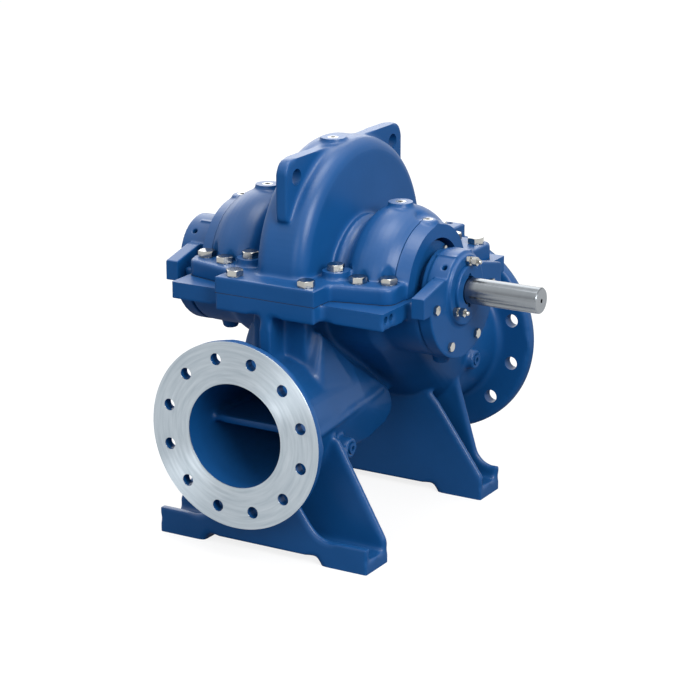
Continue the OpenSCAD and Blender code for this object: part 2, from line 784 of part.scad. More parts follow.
// Socket plug with its mouth at the origin, along +Z
module plug() {
    socket_r = 0.55 * plug_r;
    socket_depth = plug_l / 2;
    color(bright) difference() {
        translate([0, 0, -plug_l]) cylinder(r = plug_r, h = plug_l);
        translate([0, 0, -socket_depth]) cylinder(r = socket_r, h = socket_depth + eps, $fn = 6);
    }
}

// Socket plug in an upright boss, and one in a gauge boss
module top_plug(x, z) {
    translate([x, 0, z]) plug();
}

module gauge_plug(mouth) {
    translate(mouth) rotate([0, 90, 0]) plug();
}

lower_casing();
upper_casing();
casing_gasket();
shaft();
at_end(1) shaft_sleeve();  // de_shaft_sleeve
at_end(-1) shaft_sleeve();  // nde_shaft_sleeve
at_end(1) seal_cover();  // de_seal_cover
at_end(-1) seal_cover();  // nde_seal_cover
at_end(1) bearing_bracket(de_housing_x, housing_ring_r);  // de_bearing_bracket
at_end(-1) bearing_bracket(nde_housing_x, housing_r);  // nde_bearing_bracket
at_end(1) bearing_cover(de_housing_x, true);  // de_bearing_cover
at_end(-1) bearing_cover(nde_housing_x, false);  // nde_bearing_cover
top_plug(0, vent_top);  // vent_plug
top_plug(dome_x, suction_plug_top);  // de_suction_plug
top_plug(-dome_x, suction_plug_top);  // nde_suction_plug
top_plug(flush_x, flush_plug_top);  // de_flush_plug
top_plug(-flush_x, flush_plug_top);  // nde_flush_plug
gauge_plug(discharge_gauge);  // discharge_gauge_plug
gauge_plug(suction_gauge);  // suction_gauge_plug
at_end(1) grease_nipple(de_housing_x, top_angle);  // de_top_nipple
at_end(1) grease_nipple(de_housing_x, side_angle);  // de_side_nipple
at_end(-1) grease_nipple(nde_housing_x, far_angle);  // nde_top_nipple
at_end(-1) grease_nipple(nde_housing_x, side_angle);  // nde_side_nipple
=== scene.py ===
"""Split case pump: castings, machined faces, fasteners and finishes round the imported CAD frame, in metres."""

import json
import math

import bmesh
import bpy
from mathutils import Matrix, Vector


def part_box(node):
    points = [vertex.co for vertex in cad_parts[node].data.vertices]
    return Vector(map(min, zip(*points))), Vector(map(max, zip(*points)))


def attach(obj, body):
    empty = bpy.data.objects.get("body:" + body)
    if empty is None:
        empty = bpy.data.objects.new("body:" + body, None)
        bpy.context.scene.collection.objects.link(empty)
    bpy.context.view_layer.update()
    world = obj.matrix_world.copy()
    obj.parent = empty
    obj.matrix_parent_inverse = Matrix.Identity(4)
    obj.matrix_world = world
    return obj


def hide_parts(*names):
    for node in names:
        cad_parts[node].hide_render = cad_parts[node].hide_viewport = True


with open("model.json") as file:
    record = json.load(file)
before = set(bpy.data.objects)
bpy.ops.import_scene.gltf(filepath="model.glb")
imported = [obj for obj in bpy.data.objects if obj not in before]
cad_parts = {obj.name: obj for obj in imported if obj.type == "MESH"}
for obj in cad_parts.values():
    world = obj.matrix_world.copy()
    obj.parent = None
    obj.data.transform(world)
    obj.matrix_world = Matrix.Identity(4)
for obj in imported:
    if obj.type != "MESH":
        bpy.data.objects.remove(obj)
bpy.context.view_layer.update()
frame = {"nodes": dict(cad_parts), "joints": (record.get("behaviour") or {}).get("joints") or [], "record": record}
nodes = frame["nodes"]
scene = bpy.context.scene
mounts = {m["name"]: m for m in frame["record"]["mounts"]}

MM = 0.001
both_ends = (1, -1)


def middle_x(name):
    low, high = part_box(name)
    return (low.x + high.x) / 2


# Places read from the frame.
shaft_h = frame["joints"][0]["pos_m"][2]
nozzle_h = mounts["discharge_bolts"]["pos_m"][2]
discharge_y = mounts["discharge_face"]["pos_m"][1]
suction_y = mounts["suction_face"]["pos_m"][1]
foot_bolts = mounts["foot_bolts"]["dims"]
lower_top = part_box("casing_gasket")[0].z
upper_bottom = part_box("casing_gasket")[1].z
upper_end_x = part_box("upper_casing")[1].x
vent_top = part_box("vent_plug")[1].z
suction_plug_x, suction_plug_top = middle_x("de_suction_plug"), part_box("de_suction_plug")[1].z
flush_plug_x, flush_plug_top = middle_x("de_flush_plug"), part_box("de_flush_plug")[1].z

# Sizes taken over from the CAD source.
upper_flange_top = upper_bottom + 31 * MM
mid_half_w, mid_front, mid_back = 108 * MM, 253 * MM, 343 * MM
lower_end_front, lower_end_back = 228 * MM, 262 * MM
lower_de_l, lower_nde_l = 238 * MM, 222 * MM
seal_chamber_r, seal_floor_x, seal_cover_t = 91 * MM, 200 * MM, 16 * MM
passage_r = 36 * MM
bracket_front_x, bracket_back_x = 284 * MM, 257 * MM
discharge_bore_r, discharge_flange_r, discharge_flange_t = 100 * MM, 180 * MM, 22 * MM
suction_bore_r, suction_flange_r, suction_flange_t = 125 * MM, 212.5 * MM, 25 * MM
foot_pad_x, foot_pad_y = (130 * MM, 230 * MM), (190 * MM, 272 * MM)
plug_hole_r, plug_hole_l, boss_r, flush_boss_r = 10.6 * MM, 14 * MM, 24 * MM, 21 * MM
split_boss_r, split_boss_top = 26 * MM, upper_flange_top + 15 * MM
spot_face_r = 21 * MM
end_ring_r = 116 * MM
end_tap_r, end_tap_l, end_tap_h = 6.5 * MM, 14 * MM, 480 * MM
end_tap_y = -212 * MM, -193 * MM
lug_hole_r, lug_hole_z = 16 * MM, shaft_h + 214 * MM
lug_hole_y = (29 - 182) * MM, (29 + 182) * MM

# Split bolts as x and y of the drive-end half; the other half mirrors them.
boss_bolts = [(94 * MM, -150 * MM), (94 * MM, 190 * MM)]
spot_bolts = [(146 * MM, -158 * MM), (200 * MM, -138 * MM)]
flange_bolts = [(78 * MM, -230 * MM), (78 * MM, 283 * MM), (146 * MM, 220 * MM), (200 * MM, 212 * MM)]

# Forms that only the castings here have: ridges along the diffuser, with points in millimetres, a line
# round each suction dome, and the jacking holes.
ridge_r, ridge_tip_r = 10 * MM, 7 * MM
ridge_line = ((112, -300, 250), (114, -250, 252), (113, -184, 257), (111, -125, 262), (106, -70, 263),
              (99, -30, 261), (84, 38, 258))
ridge_tip_line = ((82, 42, 260), (84, 15, 275), (85, -12, 287))
dome_line_x, dome_line_r, dome_line_half_w = 202 * MM, (122 * MM, 140 * MM), 0.7 * MM
jack_hole_r, jack_x, jack_y = 7 * MM, 79 * MM, 330 * MM

# Allowances: a casting is skinned with spare metal and filled holes, then cut back to its true faces.
spare = 5 * MM
fill_extra = 2 * MM
seat_extra = 3 * MM
boss_root = 20 * MM
ring_root_x = 190 * MM
foot_fill_r, foot_fill_top, foot_hole_top = 14 * MM, 25 * MM, 40 * MM
lug_half_t, lug_clear = 12 * MM, 40 * MM
seat_clear, spot_clear, split_clear = 40 * MM, 60 * MM, 30 * MM
passage_cut_x = 150 * MM, 210 * MM
skin_of_face = 1.5 * MM
far = 1.0


# Mesh helpers.

def add_rod(bm, radius, start, end, segments=64):
    """A round bar from start to end."""
    start, end = Vector(start), Vector(end)
    along = end - start
    place = Matrix.Translation((start + end) / 2) @ along.to_track_quat("Z", "Y").to_matrix().to_4x4()
    bmesh.ops.create_cone(
        bm, cap_ends=True, cap_tris=False, segments=segments, radius1=radius, radius2=radius,
        depth=along.length, matrix=place)


def add_post(bm, radius, x, y, low, high, segments=64):
    """An upright round bar."""
    add_rod(bm, radius, (x, y, low), (x, y, high), segments)


def add_axle(bm, radius, start_x, end_x, segments=64):
    """A round bar on the shaft's axis."""
    add_rod(bm, radius, (start_x, 0, shaft_h), (end_x, 0, shaft_h), segments)


def add_bead(bm, radius, line):
    """A round bead along a line of points, to be skinned into a casting as a soft ridge."""
    for start, end in zip(line, line[1:]):
        add_rod(bm, radius, start, end, segments=24)


def add_block(bm, low, high):
    """A box between two corners."""
    low, high = Vector(low), Vector(high)
    place = Matrix.Translation((low + high) / 2) @ Matrix.Diagonal((*(high - low), 1))
    bmesh.ops.create_cube(bm, size=1, matrix=place)


def add_turned(bm, profile, start, along, steps=96):
    """Spins a profile of (radius, distance) points round the axis that leaves start in direction along."""
    turned = bmesh.new()
    verts = [turned.verts.new((radius, 0, distance)) for radius, distance in profile]
    edges = [turned.edges.new(pair) for pair in zip(verts, verts[1:])]
    bmesh.ops.spin(
        turned, geom=verts + edges, cent=(0, 0, 0), axis=(0, 0, 1), dvec=(0, 0, 0),
        angle=math.tau, steps=steps, use_merge=True, use_normal_flip=False, use_duplicate=False)
    bmesh.ops.remove_doubles(turned, verts=turned.verts, dist=1e-6)
    bmesh.ops.recalc_face_normals(turned, faces=turned.faces)
    turn = Vector(along).to_track_quat("Z", "Y").to_matrix().to_4x4()
    turned.transform(Matrix.Translation(start) @ turn)
    pour_into(bm, turned)


def add_ring(bm, radii, low, high, start, along):
    """A flat ring between two radii, from low to high along an axis."""
    inner_r, outer_r = radii
    add_turned(bm, [(inner_r, low), (outer_r, low), (outer_r, high), (inner_r, high), (inner_r, low)],
               start, along)


def pour_into(bm, part):
    """Adds all of part to bm and frees part."""
    mesh = bpy.data.meshes.new("poured")
    part.to_mesh(mesh)
    part.free()
    bm.from_mesh(mesh)
    bpy.data.meshes.remove(mesh)


def node_copy(name):
    """The mesh of a CAD node with its loose triangles merged."""
    bm = bmesh.new()
    bm.from_mesh(nodes[name].data)
    bmesh.ops.remove_doubles(bm, verts=bm.verts, dist=1e-6)
    return bm


def loose_object(name, bm):
    mesh = bpy.data.meshes.new(name)
    bm.to_mesh(mesh)
    bm.free()
    made = bpy.data.objects.new(name, mesh)
    scene.collection.objects.link(made)
    return made


def apply_modifiers(obj):
    """Replaces an object's mesh by what its modifiers make of it."""
    bpy.context.view_layer.update()
    result = bpy.data.meshes.new_from_object(obj.evaluated_get(bpy.context.evaluated_depsgraph_get()))
    old = obj.data
    obj.modifiers.clear()
    obj.data = result
    bpy.data.meshes.remove(old)


def cut(obj, bm):
    """Takes the closed shapes in bm out of an object."""
    cutter = loose_object("cutter", bm)
    trim = obj.modifiers.new("trim", "BOOLEAN")
    trim.operation = "DIFFERENCE"
    trim.solver = "MANIFOLD"
    trim.object = cutter
    apply_modifiers(obj)
    mesh = cutter.data
    bpy.data.objects.remove(cutter)
    bpy.data.meshes.remove(mesh)


def finish_piece(piece, material, crease=35):
    """Shades a piece with its real edges, and gives it its finish and body."""
    piece.data.name = piece.name
    piece.data.materials.clear()
    piece.data.materials.append(material)
    piece.data.shade_smooth()
    piece.data.set_sharp_from_angle(angle=math.radians(crease))
    even = piece.modifiers.new("even_shading", "WEIGHTED_NORMAL")
    even.keep_sharp, even.weight = True, 90
    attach(piece, "pump")


# Finishes.

def node_group(name, inputs, outputs):
    group = bpy.data.node_groups.new(name, "ShaderNodeTree")
    for socket, kind, default in inputs:
        made = group.interface.new_socket(name=socket, in_out="INPUT", socket_type=kind)
        if default is not None:
            made.default_value = default
    for socket, kind in outputs:
        group.interface.new_socket(name=socket, in_out="OUTPUT", socket_type=kind)
    return group, group.nodes.new("NodeGroupInput"), group.nodes.new("NodeGroupOutput")


def add_node(tree, kind, **settings):
    node = tree.nodes.new(kind)
    for key, value in settings.items():
        setattr(node, key, value)
    return node


def make_cast_skin():
    """Slow waves and fine grain of a sand casting under paint, and a patchy tone."""
    group, ins, outs = node_group(
        "cast_skin",
        [("Vector", "NodeSocketVector", None), ("Wave Size", "NodeSocketFloat", 30.0),
         ("Grain Size", "NodeSocketFloat", 500.0)],
        [("Height", "NodeSocketFloat"), ("Tone", "NodeSocketFloat")])
    link = group.links.new
    waves = add_node(group, "ShaderNodeTexNoise")
    grain = add_node(group, "ShaderNodeTexNoise")
    patches = add_node(group, "ShaderNodeTexNoise")
    for noise, detail in ((waves, 2), (grain, 3), (patches, 4)):
        noise.inputs["Detail"].default_value = detail
        link(ins.outputs["Vector"], noise.inputs["Vector"])
    link(ins.outputs["Wave Size"], waves.inputs["Scale"])
    link(ins.outputs["Grain Size"], grain.inputs["Scale"])
    patches.inputs["Scale"].default_value = 9
    grain_on_waves = add_node(group, "ShaderNodeMath", operation="MULTIPLY_ADD")
    grain_share = 0.16
    grain_on_waves.inputs[1].default_value = grain_share
    link(grain.outputs["Fac"], grain_on_waves.inputs[0])
    link(waves.outputs["Fac"], grain_on_waves.inputs[2])
    link(grain_on_waves.outputs[0], outs.inputs["Height"])
    link(patches.outputs["Fac"], outs.inputs["Tone"])
    return group


def make_tool_marks():
    """Fine lines that a lathe tool leaves round an axis, broken here and there on their way round."""
    group, ins, outs = node_group(
        "tool_marks",
        [("Vector", "NodeSocketVector", None), ("Across", "NodeSocketFloat", None),
         ("Lines Per Metre", "NodeSocketFloat", 900.0), ("Breaks", "NodeSocketFloat", 3.0)],
        [("Height", "NodeSocketFloat"), ("Shade", "NodeSocketFloat")])
    link = group.links.new
    around = add_node(group, "ShaderNodeVectorMath", operation="NORMALIZE")
    spread = add_node(group, "ShaderNodeVectorMath", operation="SCALE")
    link(ins.outputs["Vector"], around.inputs[0])
    link(around.outputs["Vector"], spread.inputs[0])
    link(ins.outputs["Breaks"], spread.inputs["Scale"])
    for output, share_of_lines, detail in (("Height", 1.0, 2), ("Shade", 0.35, 3)):
        lines = add_node(group, "ShaderNodeMath", operation="MULTIPLY")
        place = add_node(group, "ShaderNodeMath", operation="MULTIPLY")
        marks = add_node(group, "ShaderNodeTexNoise", noise_dimensions="4D")
        marks.inputs["Scale"].default_value = 1
        marks.inputs["Detail"].default_value = detail
        lines.inputs[1].default_value = share_of_lines
        link(ins.outputs["Lines Per Metre"], lines.inputs[0])
        link(ins.outputs["Across"], place.inputs[0])
        link(lines.outputs[0], place.inputs[1])
        link(spread.outputs["Vector"], marks.inputs["Vector"])
        link(place.outputs[0], marks.inputs["W"])
        link(marks.outputs["Fac"], outs.inputs[output])
    return group


cast_skin = make_cast_skin()
tool_marks = make_tool_marks()
noise_low, noise_high = 0.3, 0.7


def new_material(name, roughness, metallic=0.0):
    material = bpy.data.materials.new(name)
    material.use_nodes = True
    tree = material.node_tree
    shader = tree.nodes["Principled BSDF"]
    shader.inputs["Roughness"].default_value = roughness
    shader.inputs["Metallic"].default_value = metallic
    coords = tree.nodes.new("ShaderNodeTexCoord")
    return material, tree, shader, coords


def tone_between(tree, value, dark, light, socket):
    """Sends a tone between two colours, by a noise value, to a colour socket."""
    ramp = tree.nodes.new("ShaderNodeValToRGB")
    ramp.color_ramp.elements[0].position = noise_low
    ramp.color_ramp.elements[1].position = noise_high
    ramp.color_ramp.elements[0].color = (*dark, 1)
    ramp.color_ramp.elements[1].color = (*light, 1)
    tree.links.new(value, ramp.inputs["Fac"])
    tree.links.new(ramp.outputs["Color"], socket)


def range_between(tree, value, low, high, socket, start=noise_low, stop=noise_high):
    """Sends low to high to a socket, while a value goes from start to stop."""
    spread = tree.nodes.new("ShaderNodeMapRange")
    spread.inputs["From Min"].default_value = start
    spread.inputs["From Max"].default_value = stop
    spread.inputs["To Min"].default_value = low
    spread.inputs["To Max"].default_value = high
    tree.links.new(value, spread.inputs["Value"])
    tree.links.new(spread.outputs["Result"], socket)


def bump(tree, height, shader, distance, strength):
    relief = tree.nodes.new("ShaderNodeBump")
    relief.inputs["Distance"].default_value = distance
    relief.inputs["Strength"].default_value = strength
    tree.links.new(height, relief.inputs["Height"])
    tree.links.new(relief.outputs["Normal"], shader.inputs["Normal"])


def place_cast_skin(tree, coords, wave_size, grain_size):
    skin = add_node(tree, "ShaderNodeGroup", node_tree=cast_skin)
    skin.inputs["Wave Size"].default_value = wave_size
    skin.inputs["Grain Size"].default_value = grain_size
    tree.links.new(coords.outputs["Object"], skin.inputs["Vector"])
    return skin


def painted(name, dark, light, wave_size, grain_size, depth):
    """Satin enamel over a casting: it flows out glossier on upward faces and stays dry underneath."""
    material, tree, shader, coords = new_material(name, roughness=0.42)
    skin = place_cast_skin(tree, coords, wave_size, grain_size)
    tone_between(tree, skin.outputs["Tone"], dark, light, shader.inputs["Base Color"])
    rough_low, rough_high = 0.36, 0.46
    range_between(tree, skin.outputs["Tone"], rough_low, rough_high, shader.inputs["Roughness"])
    bump(tree, skin.outputs["Height"], shader, depth, strength=0.6)
    surface = tree.nodes.new("ShaderNodeNewGeometry")
    lean = tree.nodes.new("ShaderNodeSeparateXYZ")
    tree.links.new(surface.outputs["Normal"], lean.inputs["Vector"])
    dry_gloss, full_gloss = 0.12, 1.0
    dry_lean, full_lean = -0.1, 0.8
    range_between(tree, lean.outputs["Z"], dry_gloss, full_gloss, shader.inputs["Coat Weight"],
                  dry_lean, full_lean)
    shader.inputs["Specular IOR Level"].default_value = 0
    shader.inputs["Coat Roughness"].default_value = 0.36
    shader.inputs["Coat IOR"].default_value = 1.56
    return material


def bare_metal(name, dark, light, rough_low, rough_high):
    """Plated or bare steel without tool lines."""
    material, tree, shader, coords = new_material(name, rough_high, metallic=1.0)
    skin = place_cast_skin(tree, coords, wave_size=120, grain_size=1500)
    tone_between(tree, skin.outputs["Tone"], dark, light, shader.inputs["Base Color"])
    range_between(tree, skin.outputs["Tone"], rough_low, rough_high, shader.inputs["Roughness"])
    bump(tree, skin.outputs["Height"], shader, distance=0.005 * MM, strength=0.5)
    return material


def turned_metal(name, dark, light, rough_low, rough_high, axis, axis_h, lines, breaks, depth, grain=0.0):
    """Steel off the lathe: lines round a level axis at a height, on a bar ("X") or on a flat face ("Y")."""
    material, tree, shader, coords = new_material(name, rough_high, metallic=1.0)
    marks = add_node(tree, "ShaderNodeGroup", node_tree=tool_marks)
    marks.inputs["Lines Per Metre"].default_value = lines
    marks.inputs["Breaks"].default_value = breaks
    centre = add_node(tree, "ShaderNodeMapping")
    centre.inputs["Location"].default_value = (0, 0, -axis_h)
    centre.inputs["Scale"].default_value = (0, 1, 1) if axis == "X" else (1, 0, 1)
    tree.links.new(coords.outputs["Object"], centre.inputs["Vector"])
    tree.links.new(centre.outputs["Vector"], marks.inputs["Vector"])
    if axis == "X":
        along = tree.nodes.new("ShaderNodeSeparateXYZ")
        tree.links.new(coords.outputs["Object"], along.inputs[0])
        tree.links.new(along.outputs["X"], marks.inputs["Across"])
    else:
        reach = add_node(tree, "ShaderNodeVectorMath", operation="LENGTH")
        tree.links.new(centre.outputs["Vector"], reach.inputs[0])
        tree.links.new(reach.outputs["Value"], marks.inputs["Across"])
    if grain:
        round_axis = add_node(tree, "ShaderNodeTangent", direction_type="RADIAL", axis=axis)
        tree.links.new(round_axis.outputs["Tangent"], shader.inputs["Tangent"])
        quarter_turn = 0.25
        shader.inputs["Anisotropic"].default_value = grain
        shader.inputs["Anisotropic Rotation"].default_value = quarter_turn
    tone_between(tree, marks.outputs["Shade"], dark, light, shader.inputs["Base Color"])
    range_between(tree, marks.outputs["Shade"], rough_low, rough_high, shader.inputs["Roughness"])
    bump(tree, marks.outputs["Height"], shader, depth, strength=0.5)
    return material


blue_paint = painted(
    "blue_paint", (0.0045, 0.058, 0.188), (0.0065, 0.067, 0.215),
    wave_size=26, grain_size=420, depth=0.6 * MM)
cover_paint = painted(
    "cover_paint", (0.0045, 0.059, 0.192), (0.0065, 0.066, 0.211),
    wave_size=60, grain_size=900, depth=0.2 * MM)
polished_steel = turned_metal(
    "polished_steel", (0.22, 0.24, 0.26), (0.25, 0.27, 0.29), rough_low=0.20, rough_high=0.26,
    axis="X", axis_h=shaft_h, lines=1400, breaks=0.6, depth=0.0003 * MM)
turned_face = turned_metal(
    "turned_face", (0.36, 0.42, 0.47), (0.54, 0.60, 0.65), rough_low=0.42, rough_high=0.52,
    axis="Y", axis_h=nozzle_h, lines=420, breaks=2, depth=0.06 * MM, grain=0.9)
zinc_steel = bare_metal(
    "zinc_steel", (0.33, 0.33, 0.315), (0.46, 0.46, 0.44), rough_low=0.12, rough_high=0.22)
gasket_sheet = painted(
    "gasket_sheet", (0.012, 0.012, 0.014), (0.022, 0.022, 0.024),
    wave_size=200, grain_size=2500, depth=0.1 * MM)


# Castings.

def mark_inner_corners(obj, rings):
    """A vertex group on the inner corners of a cast skin, which fades over some rings of vertices."""
    least_bend = 0.12
    bm = bmesh.new()
    bm.from_mesh(obj.data)
    bent = [e for e in bm.edges if e.is_manifold and e.calc_face_angle_signed() < -least_bend]
    ring = {v for e in bent for v in e.verts}
    group = obj.vertex_groups.new(name="inner_corners")
    seen = set(ring)
    for step in range(rings):
        group.add([v.index for v in ring], 1 - step / rings, "REPLACE")
        ring = {e.other_vert(v) for v in ring for e in v.link_edges} - seen
        seen |= ring
    bm.free()
    return group.name


def add_smoothing(obj, name, passes):
    smooth = obj.modifiers.new(name, "SMOOTH")
    smooth.factor, smooth.iterations = 0.5, passes
    return smooth


def cast(bm, name, voxel, fillet_rings, fillet_passes, edge_passes, triangles):
    """Skins overlapping solids as one casting, with filleted inner corners and softened edges."""
    casting = loose_object(name, bm)
    skin = casting.modifiers.new("skin", "REMESH")
    skin.mode = "VOXEL"
    skin.voxel_size = voxel
    apply_modifiers(casting)
    for passes in fillet_passes:
        corners = mark_inner_corners(casting, fillet_rings)
        add_smoothing(casting, "fillet", passes).vertex_group = corners
        apply_modifiers(casting)
        casting.vertex_groups.clear()
    add_smoothing(casting, "soften", edge_passes)
    thin = casting.modifiers.new("thin", "DECIMATE")
    thin.ratio = min(1, triangles / (2 * len(casting.data.polygons)))
    apply_modifiers(casting)
    return casting


def flange_bolt_places(mount):
    """Middles of the bolt holes of a nozzle flange, on its face."""
    dims = mount["dims"]
    reach = dims["pcd_mm"] / 2 * MM
    for i in range(dims["count"]):
        angle = math.tau * (i + 0.5) / dims["count"]
        yield Vector(mount["pos_m"]) + Vector((reach * math.cos(angle), 0, reach * math.sin(angle)))


def flange_holes(bm, mount):
    """Bars through every bolt hole of a nozzle flange."""
    out = Vector(mount["axis"])
    hole_r = mount["dims"]["hole_r_mm"] * MM
    clear, depth = 6 * MM, 30 * MM
    for middle in flange_bolt_places(mount):
        add_rod(bm, hole_r, middle + out * clear, middle - out * depth, segments=40)


def flange_fill(bm, mount, thickness):
    """Closes the bolt holes of a nozzle flange before it is skinned."""
    out = Vector(mount["axis"])
    hole_r = mount["dims"]["hole_r_mm"] * MM
    for middle in flange_bolt_places(mount):
        add_rod(bm, hole_r + fill_extra, middle, middle - out * thickness, segments=24)


def foot_hole_places(side):
    """Middles of the two bolt holes in the feet of one end."""
    for front in (-1, 1):
        yield side * foot_bolts["spacing_x_mm"] / 2 * MM, front * foot_bolts["spacing_y_mm"] / 2 * MM


def build_lower_casing():
    bm = node_copy("lower_casing")
    for side in both_ends:
        for radius, line in ((ridge_r, ridge_line), (ridge_tip_r, ridge_tip_line)):
            add_bead(bm, radius, [Vector((side * x, y, z)) * MM for x, y, z in line])
    flange_fill(bm, mounts["discharge_bolts"], discharge_flange_t)
    flange_fill(bm, mounts["suction_bolts"], suction_flange_t)
    for side in both_ends:
        add_axle(bm, seal_chamber_r + fill_extra, side * ring_root_x, side * bracket_back_x)
        for x, y in foot_hole_places(side):
            add_post(bm, foot_fill_r, x, y, -spare, foot_fill_top, segments=24)
    add_ring(bm, (discharge_bore_r, discharge_flange_r), 0, 2 * spare,
             (0, discharge_y - spare, nozzle_h), (0, 1, 0))
    add_ring(bm, (suction_bore_r, suction_flange_r), 0, 2 * spare,
             (0, suction_y + spare, nozzle_h), (0, -1, 0))
    rim_low, rim_high = lower_top - 2 * spare, lower_top + spare
    add_block(bm, (-mid_half_w, -mid_front, rim_low), (mid_half_w, mid_back, rim_high))
    add_block(bm, (-lower_nde_l, -lower_end_front, rim_low), (lower_de_l, lower_end_back, rim_high))
    for side_x in both_ends:
        low_x, high_x = sorted(side_x * x for x in foot_pad_x)
        for side_y in both_ends:
            low_y, high_y = sorted(side_y * y for y in foot_pad_y)
            add_block(bm, (low_x, low_y, -spare), (high_x, high_y, 2 * spare))
    casting = cast(bm, "lower_casing_casting", voxel=2.7 * MM, fillet_rings=8, fillet_passes=(36, 24),
                   edge_passes=2, triangles=170000)

    trim = bmesh.new()
    add_block(trim, (-far, -far, lower_top), (far, far, far))
    add_block(trim, (-far, -far, -far), (far, far, 0))
    cut(casting, trim)
    trim = bmesh.new()
    add_block(trim, (-far, discharge_y - far, -far), (far, discharge_y + skin_of_face, far))
    add_block(trim, (-far, suction_y - skin_of_face, -far), (far, suction_y + far, far))
    cut(casting, trim)
    trim = bmesh.new()
    flange_holes(trim, mounts["discharge_bolts"])
    flange_holes(trim, mounts["suction_bolts"])
    for side in both_ends:
        add_axle(trim, seal_chamber_r, side * seal_floor_x, side * far, segments=96)
        for x, y in foot_hole_places(side):
            add_post(trim, foot_bolts["hole_r_mm"] * MM, x, y, -spare, foot_hole_top, segments=32)
    for y in end_tap_y:
        add_rod(trim, end_tap_r, (lower_de_l - end_tap_l, y, end_tap_h),
                (lower_de_l + spare, y, end_tap_h), segments=24)
    cut(casting, trim)
    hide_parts("lower_casing")
    finish_piece(casting, blue_paint)


def build_upper_casing():
    bm = node_copy("upper_casing")
    rim = node_copy("casing_gasket")
    for v in rim.verts:
        v.co.z = upper_bottom - spare if v.co.z < shaft_h else upper_bottom + 2 * spare
    pour_into(bm, rim)
    for side in both_ends:
        add_axle(bm, end_ring_r, side * ring_root_x, side * (upper_end_x + spare), segments=96)
        add_post(bm, boss_r, side * suction_plug_x, 0, suction_plug_top - boss_root, suction_plug_top + spare)
        add_post(bm, flush_boss_r, side * flush_plug_x, 0, flush_plug_top - boss_root, flush_plug_top)
        for x, y in boss_bolts:
            add_post(bm, split_boss_r, side * x, y, upper_bottom, split_boss_top + spare)
    add_post(bm, boss_r, 0, 0, vent_top - boss_root, vent_top + spare)
    for y in lug_hole_y:
        add_rod(bm, lug_hole_r + fill_extra, (-lug_half_t, y, lug_hole_z), (lug_half_t, y, lug_hole_z))
    casting = cast(bm, "upper_casing_casting", voxel=2.4 * MM, fillet_rings=6, fillet_passes=(26, 14),
                   edge_passes=2, triangles=130000)

    trim = bmesh.new()
    add_block(trim, (-far, -far, -far), (far, far, upper_bottom))
    cut(casting, trim)
    trim = bmesh.new()
    for side in both_ends:
        low_x, high_x = sorted((side * upper_end_x, side * far))
        add_block(trim, (low_x, -far, -far), (high_x, far, far))
    cut(casting, trim)
    trim = bmesh.new()
    for side in both_ends:
        add_ring(trim, dome_line_r, -dome_line_half_w, dome_line_half_w,
                 (side * dome_line_x, 0, shaft_h), (side, 0, 0))
    cut(casting, trim)
    trim = bmesh.new()
    for side in both_ends:
        add_axle(trim, seal_chamber_r, side * seal_floor_x, side * far, segments=96)
        add_post(trim, boss_r + seat_extra, side * suction_plug_x, 0, suction_plug_top,
                 suction_plug_top + seat_clear)
        for x, y in spot_bolts:
            add_post(trim, spot_face_r, side * x, y, upper_flange_top, upper_flange_top + spot_clear)
        for x, y in boss_bolts:
            add_post(trim, split_boss_r + spare, side * x, y, split_boss_top, split_boss_top + split_clear)
    add_post(trim, boss_r + seat_extra, 0, 0, vent_top, vent_top + seat_clear)
    cut(casting, trim)
    trim = bmesh.new()
    for side in both_ends:
        add_axle(trim, passage_r, side * passage_cut_x[0], side * passage_cut_x[1])
        for x, top in ((suction_plug_x, suction_plug_top), (flush_plug_x, flush_plug_top)):
            add_post(trim, plug_hole_r, side * x, 0, top - plug_hole_l, top + spare, segments=48)
    add_post(trim, plug_hole_r, 0, 0, vent_top - plug_hole_l, vent_top + spare, segments=48)
    for y in lug_hole_y:
        add_rod(trim, lug_hole_r, (-lug_clear, y, lug_hole_z), (lug_clear, y, lug_hole_z))
    for side in both_ends:
        add_post(trim, jack_hole_r, side * jack_x, jack_y, upper_bottom + spare, upper_flange_top + spare,
                 segments=32)
    cut(casting, trim)
    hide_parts("upper_casing")
    finish_piece(casting, blue_paint)


def build_bracket(node):
    casting = cast(node_copy(node), node + "_casting", voxel=1.5 * MM, fillet_rings=4, fillet_passes=(10, 6),
                   edge_passes=1, triangles=50000)
    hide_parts(node)
    finish_piece(casting, blue_paint)


# Machined faces and fasteners.

def build_nozzle_face(name, mount, bore_r, flange_r):
    """Bare turned ring on a nozzle flange, drilled through."""
    bm = bmesh.new()
    edge = 0.6 * MM
    profile = [(bore_r, 0), (bore_r, skin_of_face), (flange_r - edge, skin_of_face),
               (flange_r, skin_of_face - edge), (flange_r, 0), (bore_r, 0)]
    out = Vector(mount["axis"])
    add_turned(bm, profile, Vector(mount["pos_m"]) - out * skin_of_face, out, steps=160)
    ring = loose_object(name, bm)
    holes = bmesh.new()
    flange_holes(holes, mount)
    cut(ring, holes)
    finish_piece(ring, turned_face)


bolt_crease = 22


